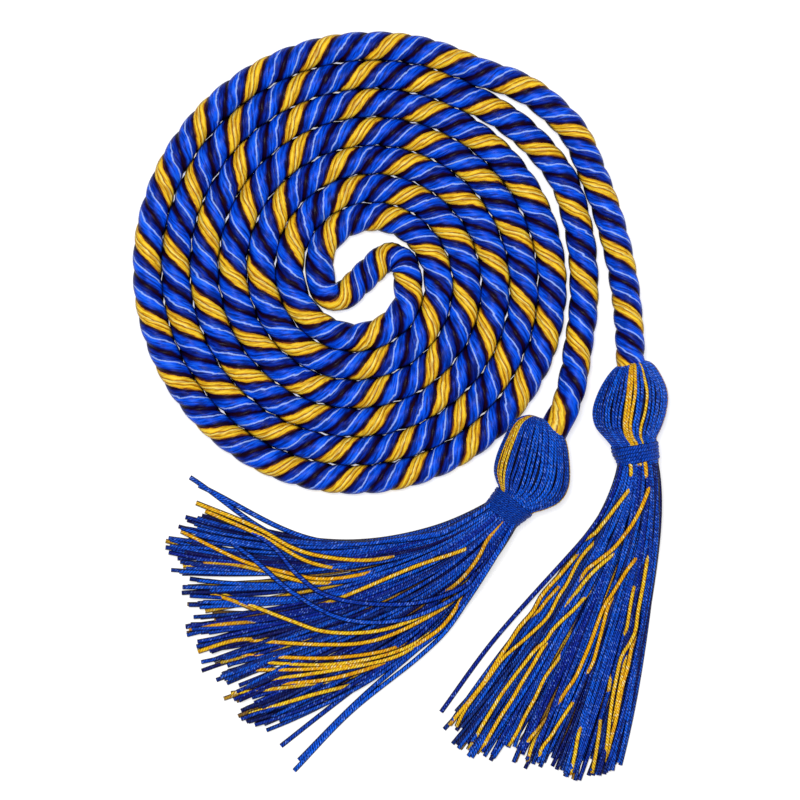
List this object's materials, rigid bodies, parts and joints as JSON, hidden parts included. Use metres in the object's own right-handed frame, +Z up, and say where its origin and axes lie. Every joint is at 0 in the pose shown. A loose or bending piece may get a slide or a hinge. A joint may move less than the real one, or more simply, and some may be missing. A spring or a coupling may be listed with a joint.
{
  "type": "honor cord",
  "caption": "Twisted two-colour graduation cord laid flat in a double spiral, with a bound tassel at each end fanned out on the surface.",
  "frame": {"origin": "on the surface that the cord lies on, under the middle of the rope, at the centre of the coil", "axes": "+Z up from the surface, +X from the coil's centre towards the tassels' side, +Y away from the tassels"},
  "size_m": [0.1334, 0.1883, 0.0167],
  "materials": {
    "rope": "satin",
    "tassel": "matte",
    "binding": "matte"
  },
  "bodies": {
    "root": {"cord_coil": "rope", "cord_right": "rope", "cord_left": "rope", "tassel_right": "tassel", "tassel_left": "tassel", "binding_right": "binding", "binding_left": "binding"}
  },
  "joints": []
}
